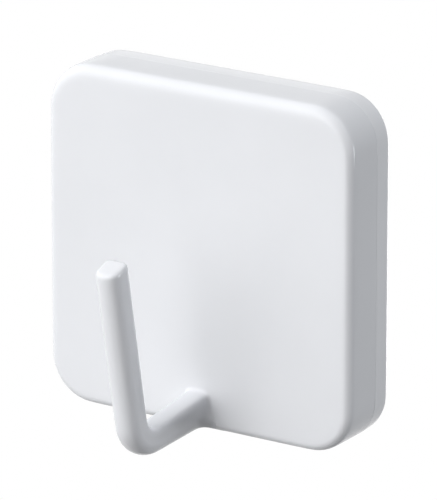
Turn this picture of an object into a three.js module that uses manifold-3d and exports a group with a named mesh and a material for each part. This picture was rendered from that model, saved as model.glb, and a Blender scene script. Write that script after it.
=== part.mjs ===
import * as THREE from 'three';
import { mergeVertices } from 'three/addons/utils/BufferGeometryUtils.js';
import Module from 'manifold-3d';

// Magnetic hook: a square two-part plastic case with an upturned hook moulded in one with its
// front, four block magnets on a steel yoke inside and a rubber grip pad against the wall.
// Millimetres, +Z up. The wall is the plane Y = 0, and the hook points towards -Y.
// A depth is a distance in front of the wall, so a point at depth D has Y = -D.

const wasm = await Module();
wasm.setup();

// Case
const bodyWidth = 50;
const bodyHeight = 50;
const cornerRadius = 6.7;
const sideWall = 2;
const frontWall = 2;
const faceEdgeRadius = 1.9;

// Layers from the wall to the inside of the front wall
const gripPadThickness = 0.8;
const tapeThickness = 0.15;
const coverFloor = 0.8;
const magnetThickness = 5;
const yokeThickness = 1;
const foamThickness = 0.75;

// Rear cover
const gripPadProud = 0.3;
const rimDepth = 3.4;
const rimTaper = 0.2;
const rimFaceWidth = 2.6;
const lipThickness = 1;

// Snaps, one in the middle of each side of the lip
const snapWidth = 9;
const snapSlot = 1;
const nibReach = 0.5;
const nibFoot = 1.4;
const nibCrest = 0.4;
const nibSetback = 0.4;

// Magnet pockets in the rear cover
const pocketMargin = 1.85;
const pocketWall = 1;
const pocketRib = 1.2;
const pocketHeight = 2.4;
const magnetCornerRadius = 0.8;
const magnetChamfer = 0.3;

// Hook, drawn from the side
const hookWidth = 3.7;
const hookThickness = 4.1;
const hookGap = 14.6;
const hookBendRadius = 2.2;
const hookDroop = THREE.MathUtils.degToRad(2);
const hookLean = THREE.MathUtils.degToRad(11);
const hookHeight = 29.2;
const hookRise = 0.75;
const hookEdgeRadius = 0.9;
const hookTipExtra = 0.1;
const hookRootFillet = 1.2;
const hookRootCover = 0.4;

// Clearances
const lipClearance = 0.15;
const lipYokeGap = 0.45;
const snapClearance = 0.2;
const magnetClearance = 0.2;
const yokeClearance = 0.2;
const foamMargin = 1.5;
const padClearance = 0.25;
const tapeMargin = 0.5;

// How finely round stretches are faceted, how far a cutter runs past what it cuts,
// and the smallest corner that an inset outline keeps
const cornerSegments = 5;
const edgeSegments = 5;
const chamferSegments = 1;
const hookSegments = 5;
const cutterOverrun = 1;
const leastCornerRadius = 0.5;
const quarterTurn = Math.PI / 2;

// Depths that follow from the layers
const floorBack = gripPadThickness + tapeThickness;
const floorFront = floorBack + coverFloor;
const magnetFront = floorFront + magnetThickness;
const yokeFront = magnetFront + yokeThickness;
const foamFront = yokeFront + foamThickness;
const faceDepth = foamFront + frontWall;
const partingDepth = gripPadProud + rimDepth;
const lipEnd = magnetFront - lipYokeGap;

// Insets from the case outline
const lipOuter = sideWall + lipClearance;
const lipInner = lipOuter + lipThickness;
const pocketOuter = lipInner + pocketMargin;
const pocketInner = pocketOuter + pocketWall;
const padSeat = rimTaper + rimFaceWidth;
const padInset = padSeat + padClearance;
const tapeInset = padInset + tapeMargin;
const yokeInset = sideWall + yokeClearance;
const foamInset = yokeInset + foamMargin;

const magnetWidth = (bodyWidth - 2 * pocketInner - pocketRib) / 2 - 2 * magnetClearance;
const magnetHeight = (bodyHeight - 2 * pocketInner - pocketRib) / 2 - 2 * magnetClearance;

const finishes = {
  whitePlastic: { color: 0xeceef0, roughness: 0.32, metalness: 0 },
  zincSteel: { color: 0xb4b8ba, roughness: 0.4, metalness: 1 },
  ferrite: { color: 0x37383b, roughness: 0.6, metalness: 0 },
  foam: { color: 0x5a5d61, roughness: 0.95, metalness: 0 },
  tape: { color: 0xdcdccf, roughness: 0.5, metalness: 0 },
  gripRubber: { color: 0x4a4d50, roughness: 0.85, metalness: 0 },
};

function solidOf(geometry) {
  geometry.deleteAttribute('normal');
  geometry.deleteAttribute('uv');
  const merged = mergeVertices(geometry);
  const mesh = new wasm.Mesh({
    numProp: 3,
    vertProperties: merged.getAttribute('position').array,
    triVerts: Uint32Array.from(merged.index.array),
  });
  return new wasm.Manifold(mesh);
}

function meshOf(name, solid, finish) {
  const { numProp, vertProperties, triVerts } = solid.getMesh();
  const geometry = new THREE.BufferGeometry();
  geometry.setAttribute('position', new THREE.BufferAttribute(vertProperties, numProp));
  geometry.setIndex(new THREE.BufferAttribute(triVerts, 1));
  geometry.computeVertexNormals();
  const mesh = new THREE.Mesh(geometry, new THREE.MeshStandardMaterial(finish));
  mesh.name = name;
  return mesh;
}

function roundedRectangle(width, height, radius) {
  const x = width / 2 - radius;
  const y = height / 2 - radius;
  const shape = new THREE.Shape();
  shape.absarc(x, y, radius, 0, quarterTurn);
  shape.absarc(-x, y, radius, quarterTurn, 2 * quarterTurn);
  shape.absarc(-x, -y, radius, 2 * quarterTurn, 3 * quarterTurn);
  shape.absarc(x, -y, radius, 3 * quarterTurn, 4 * quarterTurn);
  shape.closePath();
  return shape;
}

// The case outline moved inwards by an inset, or outwards by a negative one
function outline(inset) {
  const radius = Math.max(cornerRadius - inset, leastCornerRadius);
  return roundedRectangle(bodyWidth - 2 * inset, bodyHeight - 2 * inset, radius);
}

function rectangle(width, height) {
  const x = width / 2;
  const y = height / 2;
  return new THREE.Shape([
    new THREE.Vector2(x, y),
    new THREE.Vector2(-x, y),
    new THREE.Vector2(-x, -y),
    new THREE.Vector2(x, -y),
  ]);
}

// A plate of the given outline between two depths
function plate(shape, backDepth, frontDepth) {
  const geometry = new THREE.ExtrudeGeometry(shape, {
    depth: frontDepth - backDepth,
    bevelEnabled: false,
    curveSegments: cornerSegments,
  });
  geometry.translate(0, 0, backDepth);
  geometry.rotateX(quarterTurn);
  return solidOf(geometry);
}

// The same plate with both its edges taken off: along is the height of the cut, inwards its width
function easedPlate(shape, backDepth, frontDepth, along, inwards, segments) {
  const geometry = new THREE.ExtrudeGeometry(shape, {
    depth: frontDepth - backDepth - 2 * along,
    bevelThickness: along,
    bevelSize: inwards,
    bevelOffset: -inwards,
    bevelSegments: segments,
    curveSegments: cornerSegments,
  });
  geometry.translate(0, 0, backDepth + along);
  geometry.rotateX(quarterTurn);
  return solidOf(geometry);
}

// What is left of a solid between two depths
function between(solid, backDepth, frontDepth) {
  return solid.intersect(plate(outline(-cutterOverrun), backDepth, frontDepth));
}

// The side view of the hook: x runs forwards from the face, y runs up
function hookProfile() {
  const arm = new THREE.Vector2(Math.cos(hookDroop), -Math.sin(hookDroop));
  const upright = new THREE.Vector2(Math.sin(hookLean), Math.cos(hookLean));
  const downwards = new THREE.Vector2(arm.y, -arm.x);
  const outwards = new THREE.Vector2(upright.y, -upright.x);
  const underRoot = new THREE.Vector2(0, hookRise - bodyHeight / 2);
  const seatRoot = new THREE.Vector2(0, underRoot.y + hookThickness / arm.x);
  const underStart = underRoot.clone().addScaledVector(arm, (hookRootCover - frontWall) / arm.x);

  const turn = quarterTurn - hookLean + hookDroop;
  const innerCorner = seatRoot.clone().addScaledVector(arm, hookGap / arm.x);
  const bend = innerCorner.clone().addScaledVector(arm, -hookBendRadius * Math.tan(turn / 2));
  bend.addScaledVector(downwards, -hookBendRadius);
  const outerRadius = hookBendRadius + hookThickness;
  const bendFoot = bend.clone().addScaledVector(downwards, outerRadius);
  const innerFoot = bend.clone().addScaledVector(outwards, hookBendRadius);

  const tipRadius = hookEdgeRadius + hookTipExtra;
  const uprightLength = (underRoot.y + hookHeight - innerFoot.y) / upright.y;
  const tip = innerFoot.clone().addScaledVector(upright, uprightLength - tipRadius);
  const innerRound = tip.clone().addScaledVector(outwards, tipRadius);
  const outerRound = tip.clone().addScaledVector(outwards, hookThickness - tipRadius);
  const tipAngle = quarterTurn - hookLean;

  const filletX = hookRootFillet;
  const filletY = seatRoot.y + hookRootFillet * (1 + arm.y) / arm.x;

  const profile = new THREE.Shape();
  profile.moveTo(underStart.x, underStart.y);
  profile.lineTo(bendFoot.x, bendFoot.y);
  profile.absarc(bend.x, bend.y, outerRadius, downwards.angle(), outwards.angle());
  profile.absarc(outerRound.x, outerRound.y, tipRadius, tipAngle - quarterTurn, tipAngle);
  profile.absarc(innerRound.x, innerRound.y, tipRadius, tipAngle, tipAngle + quarterTurn);
  profile.absarc(bend.x, bend.y, hookBendRadius, outwards.angle(), downwards.angle(), true);
  profile.absarc(filletX, filletY, hookRootFillet, downwards.angle(), 2 * quarterTurn, true);
  profile.lineTo(underStart.x, filletY);
  profile.closePath();
  return profile;
}

function hook() {
  const geometry = new THREE.ExtrudeGeometry(hookProfile(), {
    depth: hookWidth - 2 * hookEdgeRadius,
    bevelThickness: hookEdgeRadius,
    bevelSize: hookEdgeRadius,
    bevelOffset: -hookEdgeRadius,
    bevelSegments: edgeSegments,
    curveSegments: hookSegments,
  });
  geometry.translate(faceDepth, 0, hookEdgeRadius - hookWidth / 2);
  const forwards = new THREE.Vector3(0, -1, 0);
  const up = new THREE.Vector3(0, 0, 1);
  const sideways = new THREE.Vector3(-1, 0, 0);
  geometry.applyMatrix4(new THREE.Matrix4().makeBasis(forwards, up, sideways));
  return solidOf(geometry);
}

// Each side of the case as a quarter turn about Y and the distance from the middle to the wall
const sides = [0, 1, 2, 3].map((index) => ({
  turn: index * quarterTurn,
  half: index % 2 === 0 ? bodyWidth / 2 : bodyHeight / 2,
}));

// A ridge along one side that leans in towards the front: the snap nib, or the groove it sits in
function snapRidge(side, growth) {
  const foot = side.half - lipOuter - lipThickness / 2;
  const crest = side.half - lipOuter + nibReach + growth;
  const back = lipEnd - nibSetback - nibFoot - growth;
  const front = lipEnd - nibSetback + growth;
  const shape = new THREE.Shape([
    new THREE.Vector2(foot, back),
    new THREE.Vector2(crest, back),
    new THREE.Vector2(crest, back + nibCrest + 2 * growth),
    new THREE.Vector2(crest - nibReach, front),
    new THREE.Vector2(foot, front),
  ]);
  const length = snapWidth + 2 * growth;
  const geometry = new THREE.ExtrudeGeometry(shape, { depth: length, bevelEnabled: false });
  geometry.translate(0, 0, -length / 2);
  geometry.rotateX(2 * quarterTurn);
  geometry.rotateY(side.turn);
  return solidOf(geometry);
}

// The two slots that free a snap from the rest of the lip
function snapSlots(side) {
  const width = lipThickness + 2 * cutterOverrun;
  const depth = lipEnd - partingDepth + cutterOverrun;
  const offset = (snapWidth + snapSlot) / 2;
  const slots = [offset, -offset].map((along) => {
    const geometry = new THREE.BoxGeometry(width, depth, snapSlot);
    geometry.translate(side.half - lipOuter - lipThickness / 2, -partingDepth - depth / 2, along);
    geometry.rotateY(side.turn);
    return solidOf(geometry);
  });
  return slots[0].add(slots[1]);
}

function frontCase() {
  const block = easedPlate(
    outline(0),
    partingDepth - 2 * faceEdgeRadius,
    faceDepth,
    faceEdgeRadius,
    faceEdgeRadius,
    edgeSegments,
  );
  const hollow = plate(outline(sideWall), partingDepth - cutterOverrun, foamFront);
  let shell = between(block, partingDepth, faceDepth).add(hook()).subtract(hollow);
  for (const side of sides) {
    shell = shell.subtract(snapRidge(side, snapClearance));
  }
  return shell;
}

function rearCover() {
  const block = easedPlate(
    outline(0),
    gripPadProud,
    partingDepth + rimDepth,
    rimDepth,
    rimTaper,
    chamferSegments,
  );
  const lip = plate(outline(lipOuter), floorFront, lipEnd);
  const inside = plate(outline(lipInner), floorFront, lipEnd + cutterOverrun);
  const seat = plate(outline(padSeat), gripPadProud - cutterOverrun, floorBack);
  let cover = between(block, gripPadProud, partingDepth).add(lip).subtract(inside).subtract(seat);
  for (const side of sides) {
    cover = cover.subtract(snapSlots(side)).add(snapRidge(side, 0));
  }
  return cover.add(magnetPockets());
}

// A frame with a cross in it, which keeps the four magnets apart
function magnetPockets() {
  const across = bodyWidth - 2 * pocketOuter;
  const upright = bodyHeight - 2 * pocketOuter;
  const room = rectangle(bodyWidth - 2 * pocketInner, bodyHeight - 2 * pocketInner);
  const front = floorFront + pocketHeight;
  const frame = plate(rectangle(across, upright), floorBack, front);
  const crossBar = plate(rectangle(across, pocketRib), floorBack, front);
  const uprightBar = plate(rectangle(pocketRib, upright), floorBack, front);
  return frame.subtract(plate(room, floorFront, front + cutterOverrun)).add(crossBar).add(uprightBar);
}

function magnet() {
  const shape = roundedRectangle(magnetWidth, magnetHeight, magnetCornerRadius);
  return easedPlate(shape, floorFront, magnetFront, magnetChamfer, magnetChamfer, chamferSegments);
}

const group = new THREE.Group();
group.add(meshOf('front_case', frontCase(), finishes.whitePlastic));
group.add(meshOf('rear_cover', rearCover(), finishes.whitePlastic));

const columns = { left: -1, right: 1 };
const rows = { upper: 1, lower: -1 };
const magnetX = (pocketRib + magnetWidth) / 2 + magnetClearance;
const magnetZ = (pocketRib + magnetHeight) / 2 + magnetClearance;
for (const [rowName, row] of Object.entries(rows)) {
  for (const [columnName, column] of Object.entries(columns)) {
    const block = meshOf(`magnet_${rowName}_${columnName}`, magnet(), finishes.ferrite);
    block.position.set(column * magnetX, 0, row * magnetZ);
    group.add(block);
  }
}

const yokePlate = plate(outline(yokeInset), magnetFront, yokeFront);
group.add(meshOf('yoke_plate', yokePlate, finishes.zincSteel));

const foamCushion = plate(outline(foamInset), yokeFront, foamFront);
group.add(meshOf('foam_cushion', foamCushion, finishes.foam));

const padTape = plate(outline(tapeInset), gripPadThickness, floorBack);
group.add(meshOf('pad_tape', padTape, finishes.tape));

const gripPad = plate(outline(padInset), 0, gripPadThickness);
group.add(meshOf('grip_pad', gripPad, finishes.gripRubber));

export default group;
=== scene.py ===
import math

import bmesh
import bpy
from mathutils import Matrix, Quaternion, Vector


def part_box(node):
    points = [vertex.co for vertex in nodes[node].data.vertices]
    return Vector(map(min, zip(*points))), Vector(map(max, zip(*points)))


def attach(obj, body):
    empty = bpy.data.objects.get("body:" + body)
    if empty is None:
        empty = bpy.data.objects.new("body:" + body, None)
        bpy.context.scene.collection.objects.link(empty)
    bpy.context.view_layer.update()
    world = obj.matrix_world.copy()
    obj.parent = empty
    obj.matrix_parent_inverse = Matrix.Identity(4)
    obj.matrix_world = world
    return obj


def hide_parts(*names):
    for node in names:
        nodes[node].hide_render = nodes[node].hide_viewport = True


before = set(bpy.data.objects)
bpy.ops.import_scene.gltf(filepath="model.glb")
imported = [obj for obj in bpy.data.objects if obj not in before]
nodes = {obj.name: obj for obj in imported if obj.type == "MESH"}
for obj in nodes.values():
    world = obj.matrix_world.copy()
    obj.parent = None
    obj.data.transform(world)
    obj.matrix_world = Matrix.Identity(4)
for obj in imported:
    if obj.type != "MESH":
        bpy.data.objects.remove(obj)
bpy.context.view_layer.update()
mm = 0.001

# What the frame says: x runs to the right, z up, and a depth is a distance in front of the wall
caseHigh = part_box("front_case")[1]
coverLow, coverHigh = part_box("rear_cover")
foamLow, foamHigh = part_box("foam_cushion")
padLow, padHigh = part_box("grip_pad")
magnetLow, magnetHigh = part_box("magnet_upper_right")
halfX = caseHigh.x
halfZ = caseHigh.z
partingDepth = -caseHigh.y
innerDepth = -foamLow.y
lipEnd = -coverLow.y
rimDepth = -coverHigh.y
floorBack = -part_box("pad_tape")[0].y
floorFront = -magnetHigh.y
print("frame loaded:", len(nodes), "nodes")


# Outlines and rings

def roundedOutline(radius, stopsX, cornerSteps):
    # Each point is where its corner's arc has its middle, and the way out from there
    midX = halfX - radius
    midZ = halfZ - radius
    stopsZ = [midZ * share for share in (-0.6, -0.2, 0.2, 0.6)]
    turns = [math.pi / 2 * step / cornerSteps for step in range(cornerSteps + 1)]
    right = [(x, -midZ, 0, -1) for x in stopsX]
    right += [(midX, -midZ, math.sin(turn), -math.cos(turn)) for turn in turns]
    right += [(midX, z, 1, 0) for z in stopsZ]
    right += [(midX, midZ, math.cos(turn), math.sin(turn)) for turn in turns]
    right += [(x, midZ, 0, 1) for x in reversed(stopsX)]
    left = [(-x, z, -outX, outZ) for x, z, outX, outZ in reversed(right[1:-1])]
    return right + left


def addRing(bm, outline, radius, side, top, missing=()):
    # Side and top are (inset, depth) on the sides and on the top; the upper corners pass between them
    ring = []
    for index, (x, z, outX, outZ) in enumerate(outline):
        if index in missing:
            ring.append(None)
            continue
        inset, depth = side.lerp(top, max(outZ, 0))
        reach = radius - inset
        ring.append(bm.verts.new((x + outX * reach, -depth, z + outZ * reach)))
    return ring


def joinRings(bm, first, second):
    for index in range(len(first)):
        quad = (first[index - 1], first[index], second[index], second[index - 1])
        if None not in quad:
            bm.faces.new(quad)


def ringSwell(turn):
    # A smoothed ring lies inside its corners, so they stand out by this factor
    return 3 / (2 + math.cos(turn))


def softProfile(corners):
    # Corners are (inset, depth, rounding, steps); each becomes an arc with a support point either side
    points = [Vector(corner[:2]) for corner in corners]
    profile = [points[0]]
    triples = zip(points, points[1:], points[2:], corners[1:])
    for before, corner, after, (_, _, rounding, steps) in triples:
        back = (before - corner).normalized()
        ahead = (after - corner).normalized()
        middle = corner + (back + ahead) * rounding
        swell = ringSwell(math.pi / 2 / steps)
        support = 3 * rounding
        supportRoom = 2.5 * support     # a shorter side takes no support point
        if (before - corner).length > supportRoom:
            profile.append(corner + back * support)
        for step in range(steps + 1):
            turn = math.pi / 2 * step / steps
            reach = rounding * (swell if 0 < step < steps else 1)
            profile.append(middle - (ahead * math.cos(turn) + back * math.sin(turn)) * reach)
        if (after - corner).length > supportRoom:
            profile.append(corner + ahead * support)
    return profile + [points[-1]]


def smoothObject(name, bm, levels):
    # Subdivides the cage, then closes each flat opening with one face
    cage = bpy.data.meshes.new(name + "Cage")
    bm.to_mesh(cage)
    bm.free()
    piece = bpy.data.objects.new(name, cage)
    bpy.context.scene.collection.objects.link(piece)
    smooth = piece.modifiers.new("smooth", "SUBSURF")
    smooth.levels = levels
    smooth.render_levels = levels
    evaluated = piece.evaluated_get(bpy.context.evaluated_depsgraph_get())
    mesh = bpy.data.meshes.new_from_object(evaluated)
    piece.modifiers.remove(smooth)
    piece.data = mesh
    bpy.data.meshes.remove(cage)
    mesh.name = name
    closed = bmesh.new()
    closed.from_mesh(mesh)
    openEdges = [edge for edge in closed.edges if edge.is_boundary]
    bmesh.ops.holes_fill(closed, edges=openEdges, sides=0)
    bmesh.ops.recalc_face_normals(closed, faces=closed.faces)
    closed.to_mesh(mesh)
    closed.free()
    mesh.shade_smooth()
    return piece


def dress(piece, material, node):
    piece.data.materials.clear()
    piece.data.materials.append(material)
    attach(piece, "root")
    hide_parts(node)
    print(piece.name, "made:", len(piece.data.polygons), "faces")


# Shader groups

def newGroup(name, inputs, outputs):
    group = bpy.data.node_groups.new(name, "ShaderNodeTree")
    for socketName, kind, default in inputs:
        socket = group.interface.new_socket(socketName, in_out="INPUT", socket_type=kind)
        if default is not None:
            socket.default_value = default
    for socketName, kind in outputs:
        group.interface.new_socket(socketName, in_out="OUTPUT", socket_type=kind)
    return group, group.nodes.new("NodeGroupInput"), group.nodes.new("NodeGroupOutput")


def inUse(sockets, name):
    # A Mix node has a socket of each name for every data type
    return next(socket for socket in sockets if socket.name == name and socket.enabled)


def makeGrainGroup():
    # Fine moulded grain: a roughness between two values and a height for the bump
    group, entry, leave = newGroup(
        "fineGrain",
        [("Vector", "NodeSocketVector", None), ("Scale", "NodeSocketFloat", 1000.0),
         ("Low", "NodeSocketFloat", 0.3), ("High", "NodeSocketFloat", 0.4)],
        [("Roughness", "NodeSocketFloat"), ("Height", "NodeSocketFloat")])
    noise = group.nodes.new("ShaderNodeTexNoise")
    noise.inputs["Detail"].default_value = 3.0
    spread = group.nodes.new("ShaderNodeMapRange")
    spread.inputs["From Min"].default_value = 0.3
    spread.inputs["From Max"].default_value = 0.7
    link = group.links.new
    link(entry.outputs["Vector"], noise.inputs["Vector"])
    link(entry.outputs["Scale"], noise.inputs["Scale"])
    link(noise.outputs["Fac"], spread.inputs["Value"])
    link(entry.outputs["Low"], spread.inputs["To Min"])
    link(entry.outputs["High"], spread.inputs["To Max"])
    link(spread.outputs["Result"], leave.inputs["Roughness"])
    link(noise.outputs["Fac"], leave.inputs["Height"])
    return group


def makeMottleGroup():
    # Slow drift between two colours
    group, entry, leave = newGroup(
        "slowMottle",
        [("Vector", "NodeSocketVector", None), ("Scale", "NodeSocketFloat", 80.0),
         ("First", "NodeSocketColor", None), ("Second", "NodeSocketColor", None)],
        [("Color", "NodeSocketColor")])
    noise = group.nodes.new("ShaderNodeTexNoise")
    noise.inputs["Detail"].default_value = 4.0
    spread = group.nodes.new("ShaderNodeMapRange")
    spread.inputs["From Min"].default_value = 0.35
    spread.inputs["From Max"].default_value = 0.65
    blend = group.nodes.new("ShaderNodeMix")
    blend.data_type = "RGBA"
    link = group.links.new
    link(entry.outputs["Vector"], noise.inputs["Vector"])
    link(entry.outputs["Scale"], noise.inputs["Scale"])
    link(noise.outputs["Fac"], spread.inputs["Value"])
    link(spread.outputs["Result"], inUse(blend.inputs, "Factor"))
    link(entry.outputs["First"], inUse(blend.inputs, "A"))
    link(entry.outputs["Second"], inUse(blend.inputs, "B"))
    link(inUse(blend.outputs, "Result"), leave.inputs["Color"])
    return group


grainGroup = makeGrainGroup()
mottleGroup = makeMottleGroup()


def makeFinish(name, look):
    # Mottled colour, grained roughness and a fine bump on object coordinates
    material = bpy.data.materials.new(name)
    material.use_nodes = True
    tree = material.node_tree
    link = tree.links.new
    shader = tree.nodes["Principled BSDF"]
    place = tree.nodes.new("ShaderNodeTexCoord")
    stretch = tree.nodes.new("ShaderNodeMapping")
    stretch.inputs["Scale"].default_value = look["stretch"]
    mottle = tree.nodes.new("ShaderNodeGroup")
    mottle.node_tree = mottleGroup
    mottle.inputs["Scale"].default_value = look["mottleScale"]
    mottle.inputs["First"].default_value = (*look["first"], 1)
    mottle.inputs["Second"].default_value = (*look["second"], 1)
    grain = tree.nodes.new("ShaderNodeGroup")
    grain.node_tree = grainGroup
    grain.inputs["Scale"].default_value = look["grainScale"]
    grain.inputs["Low"].default_value = look["roughLow"]
    grain.inputs["High"].default_value = look["roughHigh"]
    bump = tree.nodes.new("ShaderNodeBump")
    bump.inputs["Strength"].default_value = look["bumpStrength"]
    bump.inputs["Distance"].default_value = look["bumpDepth"]
    link(place.outputs["Object"], stretch.inputs["Vector"])
    link(stretch.outputs["Vector"], mottle.inputs["Vector"])
    link(stretch.outputs["Vector"], grain.inputs["Vector"])
    link(mottle.outputs["Color"], shader.inputs["Base Color"])
    link(grain.outputs["Roughness"], shader.inputs["Roughness"])
    link(grain.outputs["Height"], bump.inputs["Height"])
    link(bump.outputs["Normal"], shader.inputs["Normal"])
    shader.inputs["Metallic"].default_value = look["metallic"]
    shader.inputs["Specular IOR Level"].default_value = look["gloss"]
    return material


whiteLook = {
    "first": (0.79, 0.802, 0.831), "second": (0.81, 0.822, 0.851), "mottleScale": 60.0,
    "grainScale": 900.0, "roughLow": 0.13, "roughHigh": 0.19, "metallic": 0.0, "gloss": 0.25,
    "bumpStrength": 0.05, "bumpDepth": 0.02 * mm, "stretch": (1, 1, 1),
}
# The cover's white is a little lighter than the case's: painted sheen for its top strip, which leans
# back towards the light
coverLookPaintedSheen = dict(whiteLook, first=(0.82, 0.832, 0.86), second=(0.84, 0.852, 0.88))
rubberLook = {
    "first": (0.060, 0.064, 0.069), "second": (0.085, 0.089, 0.094), "mottleScale": 300.0,
    "grainScale": 7000.0, "roughLow": 0.68, "roughHigh": 0.88, "metallic": 0.0, "gloss": 0.5,
    "bumpStrength": 0.5, "bumpDepth": 0.04 * mm, "stretch": (1, 1, 1),
}
foamLook = {
    "first": (0.085, 0.092, 0.10), "second": (0.14, 0.15, 0.16), "mottleScale": 2500.0,
    "grainScale": 2500.0, "roughLow": 0.9, "roughHigh": 1.0, "metallic": 0.0, "gloss": 0.5,
    "bumpStrength": 0.9, "bumpDepth": 0.15 * mm, "stretch": (1, 1, 1),
}
ferriteLook = {
    "first": (0.036, 0.037, 0.040), "second": (0.062, 0.062, 0.066), "mottleScale": 900.0,
    "grainScale": 3500.0, "roughLow": 0.45, "roughHigh": 0.7, "metallic": 0.0, "gloss": 0.5,
    "bumpStrength": 0.5, "bumpDepth": 0.04 * mm, "stretch": (1, 1, 1),
}
zincLook = {
    "first": (0.55, 0.56, 0.57), "second": (0.63, 0.64, 0.64), "mottleScale": 250.0,
    "grainScale": 1800.0, "roughLow": 0.28, "roughHigh": 0.42, "metallic": 1.0, "gloss": 0.5,
    "bumpStrength": 0.2, "bumpDepth": 0.02 * mm, "stretch": (0.1, 1, 1),
}
tapeLook = {
    "first": (0.66, 0.66, 0.56), "second": (0.74, 0.74, 0.64), "mottleScale": 700.0,
    "grainScale": 3000.0, "roughLow": 0.35, "roughHigh": 0.5, "metallic": 0.0, "gloss": 0.5,
    "bumpStrength": 0.3, "bumpDepth": 0.02 * mm, "stretch": (1, 1, 0.2),
}
whitePlastic = makeFinish("whitePlastic", whiteLook)
coverPlasticPaintedSheen = makeFinish("coverPlasticPaintedSheen", coverLookPaintedSheen)
gripRubber = makeFinish("gripRubber", rubberLook)
darkFoam = makeFinish("darkFoam", foamLook)
ferrite = makeFinish("ferrite", ferriteLook)
zincSteel = makeFinish("zincSteel", zincLook)
tapeFilm = makeFinish("tapeFilm", tapeLook)
print("finishes made")


# Front case with the hook moulded on it

caseShape = {
    "cornerRadius": 6.7 * mm,
    "wall": 2.0 * mm,
    "edgeRound": 1.3 * mm,       # between the face and the sides
    "topRound": 1.9 * mm,        # between the face and the top
    "edgeSteps": 4,
    "partingRound": 0.06 * mm,   # where the two halves meet
    "innerRound": 0.4 * mm,
    "faceMargin": 1.0 * mm,      # flat strip between the edge and the open face
    "openFloor": 2.0 * mm,       # strip of floor before the open part that is closed flat
    "cornerSteps": 8,
    "level": 2,
}
hookShape = {
    "width": 3.7 * mm,
    "thickness": 4.1 * mm,
    "gap": 14.55 * mm,           # from the face to the inside of the upright, along the arm
    "bendRadius": 2.6 * mm,
    "droop": math.radians(1.5),
    "lean": math.radians(11),
    "rise": 0.4 * mm,            # underside of the root above the bottom of the case
    "rootSwell": 0.92 * mm,      # added on the seat side at the root, none at the bend
    "height": 29.85 * mm,
    "outerRound": 1.45 * mm,     # edges under the arm and in front of the upright
    "innerRound": 0.9 * mm,      # edges of the seat and behind the upright
    "tipRound": 0.6 * mm,
    "tipSlant": math.radians(8),  # the end falls away to the front
    "rootFillet": 2.0 * mm,      # beside the underside of the root
    "seatFillet": 0.4 * mm,      # round the seat
    "armStations": 4,
    "bendStations": 8,
    "uprightStations": 4,
}
faceDepth = innerDepth + caseShape["wall"]
cornerPull = 1 - ringSwell(math.pi / 4) * math.sqrt(0.5)    # a corner's middle control point


def hookSection(shape, inset):
    # Half widths across and through the arm, from the top middle round the right side and back
    halfW = shape["width"] / 2 - inset
    halfT = shape["thickness"] / 2 - inset
    least = 0.25 * mm
    inner = max(shape["innerRound"] - inset, least)
    outer = max(shape["outerRound"] - inset, least)
    right = [(halfW - inner, halfT),
             (halfW - cornerPull * inner, halfT - cornerPull * inner),
             (halfW, halfT - inner)]
    sideLength = 2 * halfT - inner - outer
    right += [(halfW, halfT - inner - sideLength * share / 4) for share in (1, 2, 3)]
    right += [(halfW, outer - halfT),
              (halfW - cornerPull * outer, cornerPull * outer - halfT),
              (halfW - outer, -halfT)]
    left = [(-x, v) for x, v in reversed(right)]
    return [(0, halfT)] + right + [(0, -halfT)] + left


def hookPath(shape):
    # Middle line as (place, heading, swell), a place being (forwards from the face, up)
    droop = shape["droop"]
    halfT = shape["thickness"] / 2
    arm = Vector((math.cos(droop), -math.sin(droop)))
    armUp = Vector((math.sin(droop), math.cos(droop)))
    under = Vector((0, shape["rise"] - halfZ))
    root = under + Vector((0, halfT / arm.x))
    headingEnd = math.pi / 2 - shape["lean"]
    turn = headingEnd + droop
    inner = under + Vector((0, 2 * halfT / arm.x)) + arm * (shape["gap"] / arm.x)
    bend = inner - arm * shape["bendRadius"] * math.tan(turn / 2) + armUp * shape["bendRadius"]
    middleRadius = shape["bendRadius"] + halfT
    armLength = (bend - armUp * middleRadius - root).dot(arm)
    upright = Vector((math.cos(headingEnd), math.sin(headingEnd)))
    innerFoot = bend + Vector((upright.y, -upright.x)) * shape["bendRadius"]
    uprightLength = (under.y + shape["height"] - innerFoot.y) / upright.y

    path = []
    start = shape["seatFillet"]
    for step in range(shape["armStations"]):
        along = start + (armLength - start) * step / shape["armStations"]
        path.append((root + arm * along, -droop, shape["rootSwell"] * (1 - along / armLength)))
    for step in range(shape["bendStations"] + 1):
        heading = turn * step / shape["bendStations"] - droop
        out = Vector((math.sin(heading), -math.cos(heading)))
        path.append((bend + out * middleRadius, heading, 0.0))
    foot = path[-1][0]
    straight = uprightLength - 2 * shape["tipRound"] - math.tan(shape["tipSlant"]) * shape["thickness"]
    for step in range(1, shape["uprightStations"] + 1):
        along = straight * step / shape["uprightStations"]
        path.append((foot + upright * along, headingEnd, 0.0))
    return root, path, foot + upright * uprightLength


def sectionPoints(shape, place, heading, swell, inset=0.0, lag=0.0):
    # The lag is how far the outer side stays behind the inner side
    along = Vector((math.cos(heading), math.sin(heading)))
    across = Vector((-along.y, along.x))
    points = []
    for x, v in hookSection(shape, inset):
        share = v / shape["thickness"] + 0.5
        spot = place + across * (v + swell * share) + along * lag * (share - 1)
        points.append(Vector((x, -(faceDepth + spot.x), spot.y)))
    return points


def addLoop(bm, points):
    return [bm.verts.new(point) for point in points]


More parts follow.
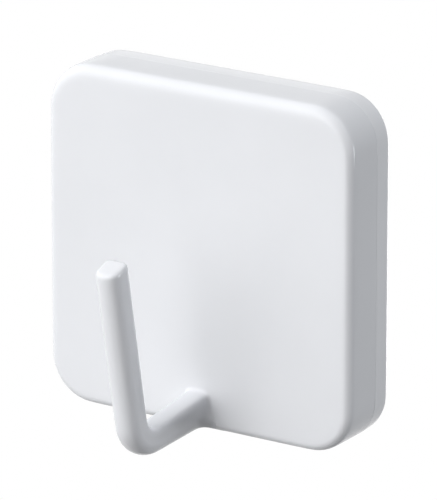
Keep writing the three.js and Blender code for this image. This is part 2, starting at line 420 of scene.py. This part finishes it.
def makeFrontCase(case, hook):
    radius = case["cornerRadius"]
    halfW = hook["width"] / 2
    seatX = halfW - hook["innerRound"]
    rimX = halfW + hook["rootFillet"]
    supportX = rimX + case["faceMargin"]
    midX = halfX - radius
    stopsX = [0, seatX, rimX, supportX]
    stopsX += [supportX + (midX - supportX) * share for share in (0.25, 0.5, 0.75)]
    outline = roundedOutline(radius, stopsX, case["cornerSteps"])
    rootHole = {0, 1, len(outline) - 1}

    sideProfile, topProfile = [softProfile([
        (case["wall"] + case["openFloor"], innerDepth, 0, 0),
        (case["wall"], innerDepth, case["innerRound"], 2),
        (case["wall"], partingDepth, case["partingRound"], 2),
        (0, partingDepth, case["partingRound"], 2),
        (0, faceDepth, rounding, case["edgeSteps"]),
        (rounding + case["faceMargin"], faceDepth, 0, 0),
    ]) for rounding in (case["edgeRound"], case["topRound"])]
    bm = bmesh.new()
    holed = len(sideProfile) - case["edgeSteps"]    # the rings that the root of the hook cuts through
    rings = []
    for number, (side, top) in enumerate(zip(sideProfile, topProfile)):
        missing = rootHole if number >= holed else ()
        rings.append(addRing(bm, outline, radius, side, top, missing))
    for first, second in zip(rings, rings[1:]):
        joinRings(bm, first, second)

    # Rim of the root on the flat face, and a second rim round it that ends the open face
    rootMiddle, path, tip = hookPath(hook)
    seatZ = rootMiddle.y + hook["thickness"] / 2 + hook["rootSwell"]
    sideZ = seatZ - hook["innerRound"]

    def rimTop(margin):
        reach = hook["innerRound"] + hook["seatFillet"] + margin
        mid = reach * (1 - cornerPull)
        right = [(seatX, sideZ + reach), (seatX + mid, sideZ + mid), (seatX + reach, sideZ)]
        spots = [(-x, z) for x, z in reversed(right)] + [(0, sideZ + reach)] + right
        return [bm.verts.new((x, -faceDepth, z)) for x, z in spots]

    innerTop = rimTop(0)
    outerTop = rimTop(case["faceMargin"])
    faceRing = rings[-1]
    innerRim = [faceRing[-2]] + innerTop + [faceRing[2]]
    outerRim = [faceRing[-3]] + outerTop + [faceRing[3]]
    for index in range(1, len(innerRim)):
        bm.faces.new((innerRim[index - 1], innerRim[index], outerRim[index], outerRim[index - 1]))

    # The whole rim, from the top middle round the right side, then the hook's own loops
    sideRings = rings[:holed - 2:-1]
    rightSide = [ring[2] for ring in sideRings]
    leftSide = [ring[-2] for ring in sideRings]
    for number, (right, left) in enumerate(zip(rightSide, leftSide), 1):
        widening = (hook["rootFillet"] - hook["seatFillet"]) * number / len(sideRings)
        right.co.x = halfW + hook["seatFillet"] + widening
        left.co.x = -right.co.x
    lowRing = sideRings[-1]
    underside = [lowRing[1], lowRing[0], lowRing[-1]]
    rim = innerTop[3:] + rightSide + underside + leftSide[::-1] + innerTop[:3]

    lean = hook["seatFillet"] - hook["rootFillet"]      # the first loop leans forwards below
    virtual = sectionPoints(hook, rootMiddle, path[0][1], hook["rootSwell"])
    firstLoop = sectionPoints(hook, *path[0], lag=lean)
    blend = [corner + (vert.co - corner + arm - corner) * cornerPull
             for vert, corner, arm in zip(rim, virtual, firstLoop)]
    loops = [rim, addLoop(bm, blend), addLoop(bm, firstLoop)]
    loops += [addLoop(bm, sectionPoints(hook, *station)) for station in path[1:]]
    heading = path[-1][1]
    upright = Vector((math.cos(heading), math.sin(heading)))
    tipRound = hook["tipRound"]
    tipLag = math.tan(hook["tipSlant"]) * hook["thickness"]
    tipRings = ((1, 0), (cornerPull, cornerPull), (0, 1), (0, 1.8))     # drop and inset in tip rounds
    for drop, inset in tipRings:
        place = tip - upright * drop * tipRound
        loops.append(addLoop(bm, sectionPoints(hook, place, heading, 0.0, inset * tipRound, tipLag)))
    for first, second in zip(loops, loops[1:]):
        joinRings(bm, first, second)
    bm.faces.new(loops[-1])
    return smoothObject("frontCase", bm, case["level"])


frontCase = makeFrontCase(caseShape, hookShape)
dress(frontCase, whitePlastic, "front_case")


# Rear cover: a tapered rim, the lip inside the case, the magnets' pockets and the seat of the grip pad

coverShape = {
    "taper": 0.15 * mm,
    "seatInset": 2.8 * mm,       # from the sides of the case to the seat of the grip pad
    "backRound": 0.35 * mm,
    "partingRound": 0.06 * mm,
    "seatRound": 0.12 * mm,
    "lipClearance": 0.15 * mm,
    "lip": 1.0 * mm,
    "lipRound": 0.2 * mm,
    "openFloor": 2.0 * mm,
    "pocketClearance": 0.2 * mm,  # round each magnet
    "pocketWall": 1.0 * mm,
    "pocketHeight": 2.4 * mm,
    "pocketRound": 0.15 * mm,
    "pocketFoot": 0.2 * mm,      # how far the frame is sunk in the floor
    "cornerSteps": 8,
    "level": 2,
}


def makeShell(name, corners, cornerSteps, level):
    # A closed shell from a profile that starts and ends on a flat floor
    radius = caseShape["cornerRadius"]
    stopsX = [(halfX - radius) * share for share in (0, 0.35, 0.7)]
    outline = roundedOutline(radius, stopsX, cornerSteps)
    bm = bmesh.new()
    rings = [addRing(bm, outline, radius, point, point) for point in softProfile(corners)]
    for first, second in zip(rings, rings[1:]):
        joinRings(bm, first, second)
    return smoothObject(name, bm, level)


def addPockets(piece, cover):
    # A frame with a cross in it, laid out as five by five cells of which four are empty
    def stops(low, high):
        rib = low - cover["pocketClearance"]
        inner = high + cover["pocketClearance"]
        right = [rib, inner, inner + cover["pocketWall"]]
        return [-stop for stop in reversed(right)] + right

    stopsX = stops(magnetLow.x, magnetHigh.x)
    stopsZ = stops(magnetLow.z, magnetHigh.z)
    cells = range(len(stopsX) - 1)
    filled = {(column, row) for column in cells for row in cells if column % 2 == 0 or row % 2 == 0}
    bm = bmesh.new()
    bm.from_mesh(piece.data)
    foot, front = [
        [[bm.verts.new((x, -depth, z)) for z in stopsZ] for x in stopsX]
        for depth in (floorFront - cover["pocketFoot"], floorFront + cover["pocketHeight"])]
    faces = []
    for column, row in sorted(filled):
        corners = [(column, row), (column + 1, row), (column + 1, row + 1), (column, row + 1)]
        beside = [(column, row - 1), (column + 1, row), (column, row + 1), (column - 1, row)]
        faces.append(bm.faces.new([front[x][z] for x, z in corners]))
        faces.append(bm.faces.new([foot[x][z] for x, z in reversed(corners)]))
        for number, neighbour in enumerate(beside):
            if neighbour in filled:
                continue
            (startX, startZ), (endX, endZ) = corners[number], corners[(number + 1) % 4]
            faces.append(bm.faces.new((foot[startX][startZ], foot[endX][endZ],
                                       front[endX][endZ], front[startX][startZ])))
    frontLevel = -(floorFront + cover["pocketHeight"])
    sharp = math.radians(60)
    bm.edges.index_update()
    rims = {edge for face in faces for edge in face.edges
            if len(edge.link_faces) == 2 and edge.calc_face_angle() > sharp
            and all(math.isclose(vert.co.y, frontLevel, abs_tol=1e-6) for vert in edge.verts)}
    inOrder = sorted(rims, key=lambda edge: edge.index)
    bmesh.ops.bevel(bm, geom=inOrder, offset=cover["pocketRound"], segments=2,
                    affect="EDGES", profile=0.5)
    bm.to_mesh(piece.data)
    bm.free()


def makeRearCover(cover):
    lipOuter = caseShape["wall"] + cover["lipClearance"]
    lipInner = lipOuter + cover["lip"]
    seat = cover["seatInset"]
    shell = makeShell("rearCover", [
        (lipInner + cover["openFloor"], floorFront, 0, 0),
        (lipInner, floorFront, cover["lipRound"], 2),
        (lipInner, lipEnd, cover["lipRound"], 2),
        (lipOuter, lipEnd, cover["lipRound"], 2),
        (lipOuter, partingDepth, cover["partingRound"], 2),
        (0, partingDepth, cover["partingRound"], 2),
        (cover["taper"], rimDepth, cover["backRound"], 3),
        (seat, rimDepth, cover["seatRound"], 2),
        (seat, floorBack, cover["seatRound"], 2),
        (seat + cover["openFloor"], floorBack, 0, 0),
    ], cover["cornerSteps"], cover["level"])
    addPockets(shell, cover)
    return shell


rearCover = makeRearCover(coverShape)
# The cover wears the lighter copy of the white plastic, a painted sheen on its top strip
dress(rearCover, coverPlasticPaintedSheen, "rear_cover")


# Grip pad: a rubber sheet with rows of low dots towards the wall

padShape = {
    "dotHeight": 0.12 * mm,
    "dotRadius": 0.45 * mm,
    "dotTop": 0.6,               # of the radius
    "dotSides": 10,
    "pitch": 1.6 * mm,
    "dotMargin": 1.3 * mm,       # from the edge of the sheet to the outermost dots
    "edgeRound": 0.12 * mm,
    "openFloor": 1.0 * mm,
    "cornerSteps": 6,
    "level": 1,
}


def makeDotTree(pad):
    tree = bpy.data.node_groups.new("gripDots", "GeometryNodeTree")
    tree.interface.new_socket("Geometry", in_out="INPUT", socket_type="NodeSocketGeometry")
    for name in ("Field width", "Field corner", "Pitch", "Dot radius", "Dot height", "Sheet depth"):
        tree.interface.new_socket(name, in_out="INPUT", socket_type="NodeSocketFloat")
    tree.interface.new_socket("Finish", in_out="INPUT", socket_type="NodeSocketMaterial")
    tree.interface.new_socket("Geometry", in_out="OUTPUT", socket_type="NodeSocketGeometry")
    new = tree.nodes.new
    link = tree.links.new
    entry = new("NodeGroupInput")
    leave = new("NodeGroupOutput")

    def maths(operation, first, second=None):
        node = new("ShaderNodeMath")
        node.operation = operation
        for socket, value in zip(node.inputs, (first, second)):
            if isinstance(value, (int, float)):
                socket.default_value = value
            elif value is not None:
                link(value, socket)
        return node.outputs["Value"]

    # Square field of points, a whole number of pitches wide
    width = entry.outputs["Field width"]
    pitch = entry.outputs["Pitch"]
    spaces = maths("FLOOR", maths("DIVIDE", width, pitch))
    grid = new("GeometryNodeMeshGrid")
    for socket in ("Size X", "Size Y"):
        link(maths("MULTIPLY", spaces, pitch), grid.inputs[socket])
    for socket in ("Vertices X", "Vertices Y"):
        link(maths("ADD", spaces, 1), grid.inputs[socket])

    # Points past the round corners go
    where = new("GeometryNodeInputPosition")
    split = new("ShaderNodeSeparateXYZ")
    link(where.outputs["Position"], split.inputs["Vector"])
    corner = entry.outputs["Field corner"]
    straight = maths("SUBTRACT", maths("MULTIPLY", width, 0.5), corner)
    past = [maths("MAXIMUM", maths("SUBTRACT", maths("ABSOLUTE", split.outputs[axis]), straight), 0)
            for axis in ("X", "Y")]
    away = maths("SQRT", maths("ADD", maths("POWER", past[0], 2), maths("POWER", past[1], 2)))
    trim = new("GeometryNodeDeleteGeometry")
    link(grid.outputs["Mesh"], trim.inputs["Geometry"])
    link(maths("GREATER_THAN", away, corner), trim.inputs["Selection"])

    # One dot, its lower half sunk in the sheet
    dot = new("GeometryNodeMeshCone")
    dot.inputs["Vertices"].default_value = pad["dotSides"]
    link(entry.outputs["Dot radius"], dot.inputs["Radius Bottom"])
    link(maths("MULTIPLY", entry.outputs["Dot radius"], pad["dotTop"]), dot.inputs["Radius Top"])
    link(maths("MULTIPLY", entry.outputs["Dot height"], 2), dot.inputs["Depth"])
    drop = new("GeometryNodeTransform")
    lower = new("ShaderNodeCombineXYZ")
    link(maths("MULTIPLY", entry.outputs["Dot height"], -1), lower.inputs["Z"])
    link(dot.outputs["Mesh"], drop.inputs["Geometry"])
    link(lower.outputs["Vector"], drop.inputs["Translation"])
    scatter = new("GeometryNodeInstanceOnPoints")
    link(trim.outputs["Geometry"], scatter.inputs["Points"])
    link(drop.outputs["Geometry"], scatter.inputs["Instance"])

    # The field turns to face the wall and joins the sheet
    turn = new("GeometryNodeTransform")
    turn.inputs["Rotation"].default_value = (-math.pi / 2, 0, 0)
    shift = new("ShaderNodeCombineXYZ")
    link(maths("MULTIPLY", entry.outputs["Sheet depth"], -1), shift.inputs["Y"])
    link(shift.outputs["Vector"], turn.inputs["Translation"])
    link(scatter.outputs["Instances"], turn.inputs["Geometry"])
    both = new("GeometryNodeJoinGeometry")
    link(entry.outputs["Geometry"], both.inputs["Geometry"])
    link(turn.outputs["Geometry"], both.inputs["Geometry"])
    real = new("GeometryNodeRealizeInstances")
    finish = new("GeometryNodeSetMaterial")
    link(both.outputs["Geometry"], real.inputs["Geometry"])
    link(real.outputs["Geometry"], finish.inputs["Geometry"])
    link(entry.outputs["Finish"], finish.inputs["Material"])
    link(finish.outputs["Geometry"], leave.inputs["Geometry"])
    return tree


def makeGripPad(pad):
    inset = halfX - padHigh.x
    back = -padHigh.y + pad["dotHeight"]
    sheet = makeShell("gripPad", [
        (inset + pad["openFloor"], -padLow.y, 0, 0),
        (inset, -padLow.y, pad["edgeRound"], 2),
        (inset, back, pad["edgeRound"], 2),
        (inset + pad["openFloor"], back, 0, 0),
    ], pad["cornerSteps"], pad["level"])
    tree = makeDotTree(pad)
    dots = sheet.modifiers.new("dots", "NODES")
    dots.node_group = tree
    values = {
        "Field width": 2 * (padHigh.x - pad["dotMargin"]),
        "Field corner": caseShape["cornerRadius"] - inset - pad["dotMargin"],
        "Pitch": pad["pitch"],
        "Dot radius": pad["dotRadius"],
        "Dot height": pad["dotHeight"],
        "Sheet depth": back,
        "Finish": gripRubber,
    }
    for item in tree.interface.items_tree:
        if item.in_out == "INPUT" and item.name in values:
            dots[item.identifier] = values[item.name]
    evaluated = sheet.evaluated_get(bpy.context.evaluated_depsgraph_get())
    mesh = bpy.data.meshes.new_from_object(evaluated)
    sheet.modifiers.remove(dots)
    sheet.data = mesh
    return sheet


gripPad = makeGripPad(padShape)
dress(gripPad, gripRubber, "grip_pad")


# Foam cushion: held flat on both faces, its sides swell a little

foamShape = {
    "sideRound": 0.3 * mm,
    "openFloor": 2.0 * mm,
    "cornerSteps": 6,
    "level": 1,
}


def makeFoam(foam):
    inset = halfX - foamHigh.x
    return makeShell("foamCushion", [
        (inset + foam["openFloor"], -foamLow.y, 0, 0),
        (inset, -foamLow.y, foam["sideRound"], 3),
        (inset, -foamHigh.y, foam["sideRound"], 3),
        (inset + foam["openFloor"], -foamHigh.y, 0, 0),
    ], foam["cornerSteps"], foam["level"])


foamCushion = makeFoam(foamShape)
dress(foamCushion, darkFoam, "foam_cushion")


# Pieces that keep their solid

keptFinishes = {"yoke_plate": zincSteel, "pad_tape": tapeFilm}
for name in nodes:
    if name.startswith("magnet_"):
        keptFinishes[name] = ferrite
for name, material in keptFinishes.items():
    nodes[name].data.materials.clear()
    nodes[name].data.materials.append(material)
print("kept solids finished:", len(keptFinishes))


# Stage: a pale floor well below the hook, soft lamps and a white surround

stageLook = {
    "floorDrop": 1.5,
    "floorRadius": 1.1,
    "floorSides": 96,
    "floorColour": (0.72, 0.72, 0.72, 1),
    "floorRoughness": 0.9,
    "floorGlow": 0.6,            # lifts the floor in the picture and in reflections, not on the hook
    "surround": 0.07,            # how much the white surround itself lights the hook
}
# Azimuth 0 is straight in front of the face and grows to the right; the faint strip lamp
# only shows as the sheen of the cover's top strip, which leans back towards it
lamps = {
    "keyLamp": {"azimuth": -32, "elevation": 27, "width": 1.7, "height": 1.7, "watts": 18.9},
    "frontLamp": {"azimuth": -13, "elevation": 24, "width": 0.42, "height": 0.6, "watts": 1.7},
    "sideLamp": {"azimuth": 119, "elevation": -3, "width": 0.36, "height": 0.36, "watts": 3.05},
    "topLamp": {"azimuth": 105, "elevation": 66, "width": 0.8, "height": 0.8, "watts": 3.2},
    "rearLamp": {"azimuth": 186, "elevation": -10, "width": 0.5, "height": 0.4, "watts": 3.2},
    "stripLamp": {"azimuth": 212.5, "elevation": 12.5, "width": 0.5, "height": 0.1, "watts": 0.065},
}
lampDistance = 1.0
whiteLight = (1, 1, 1)
coolLight = (0.95, 0.97, 1)
lampColours = {"sideLamp": coolLight, "topLamp": coolLight}     # the other lamps are white
lampsNotMirrored = ("keyLamp",)     # a lamp so large turns the top wall white when seen from behind


def seenRays(tree, otherwise):
    # 1 to the camera, in reflections and through glass, and another value for all other light
    rays = tree.nodes.new("ShaderNodeLightPath")
    level = None
    for ray in ("Is Camera Ray", "Is Glossy Ray", "Is Transmission Ray"):
        brighter = tree.nodes.new("ShaderNodeMath")
        brighter.operation = "MAXIMUM"
        brighter.inputs[1].default_value = otherwise
        tree.links.new(rays.outputs[ray], brighter.inputs[0])
        if level:
            tree.links.new(level, brighter.inputs[1])
        level = brighter.outputs["Value"]
    return level


def makeStage(look):
    bm = bmesh.new()
    bmesh.ops.create_circle(bm, cap_ends=True, segments=look["floorSides"], radius=look["floorRadius"])
    mesh = bpy.data.meshes.new("floor")
    bm.to_mesh(mesh)
    bm.free()
    mesh.transform(Matrix.Translation((0, 0, -look["floorDrop"])))
    floor = bpy.data.objects.new("floor", mesh)
    bpy.context.scene.collection.objects.link(floor)
    paint = bpy.data.materials.new("floorPaint")
    paint.use_nodes = True
    shader = paint.node_tree.nodes["Principled BSDF"]
    shader.inputs["Base Color"].default_value = look["floorColour"]
    shader.inputs["Roughness"].default_value = look["floorRoughness"]
    shader.inputs["Emission Color"].default_value = (1, 1, 1, 1)
    glow = paint.node_tree.nodes.new("ShaderNodeMath")
    glow.operation = "MULTIPLY"
    glow.inputs[1].default_value = look["floorGlow"]
    paint.node_tree.links.new(seenRays(paint.node_tree, 0.0), glow.inputs[0])
    paint.node_tree.links.new(glow.outputs["Value"], shader.inputs["Emission Strength"])
    mesh.materials.append(paint)


def towards(azimuth, elevation):
    # The way from the middle of the hook to something that stands at these angles
    level = math.cos(elevation)
    return Vector((math.sin(azimuth) * level, -math.cos(azimuth) * level, math.sin(elevation)))


def makeSurround(strength):
    # White to the camera and in reflections, softer as a light on the hook
    world = bpy.data.worlds.new("surround")
    bpy.context.scene.world = world
    world.use_nodes = True
    tree = world.node_tree
    background = tree.nodes["Background"]
    background.inputs["Color"].default_value = (1, 1, 1, 1)
    tree.links.new(seenRays(tree, strength), background.inputs["Strength"])


def makeLamps(lampTable):
    for name, lamp in lampTable.items():
        light = bpy.data.lights.new(name, "AREA")
        light.shape = "RECTANGLE"
        light.size = lamp["width"]
        light.size_y = lamp["height"]
        light.energy = lamp["watts"]
        light.color = lampColours.get(name, whiteLight)
        holder = bpy.data.objects.new(name, light)
        holder.visible_glossy = name not in lampsNotMirrored
        way = towards(math.radians(lamp["azimuth"]), math.radians(lamp["elevation"]))
        holder.location = way * lampDistance
        holder.rotation_euler = (-way).to_track_quat("-Z", "Y").to_euler()
        bpy.context.scene.collection.objects.link(holder)


makeStage(stageLook)
makeSurround(stageLook["surround"])
makeLamps(lamps)


# Camera

cameraPlace = {
    "azimuth": math.radians(32.58),
    "elevation": math.radians(17.91),
    "roll": math.radians(0.05),
    "distance": 0.8192,          # from the middle of the back
    "lens": 420.6,
    "clipStart": 0.01,
    "shift": (-0.0362, -0.0214),  # the hook stands a little right of and above the picture's middle
}


def makeCamera(place):
    back = towards(place["azimuth"], place["elevation"])
    lens = bpy.data.cameras.new("camera")
    lens.lens = place["lens"]
    lens.shift_x, lens.shift_y = place["shift"]
    lens.clip_start = place["clipStart"]
    camera = bpy.data.objects.new("camera", lens)
    camera.location = Vector((0, -rimDepth, 0)) + back * place["distance"]
    turn = (-back).to_track_quat("-Z", "Y") @ Quaternion((0, 0, 1), place["roll"])
    camera.rotation_euler = turn.to_euler()
    bpy.context.scene.collection.objects.link(camera)
    bpy.context.scene.camera = camera


makeCamera(cameraPlace)
bpy.context.scene.view_settings.view_transform = "Standard"
print("stage, lamps and camera set")
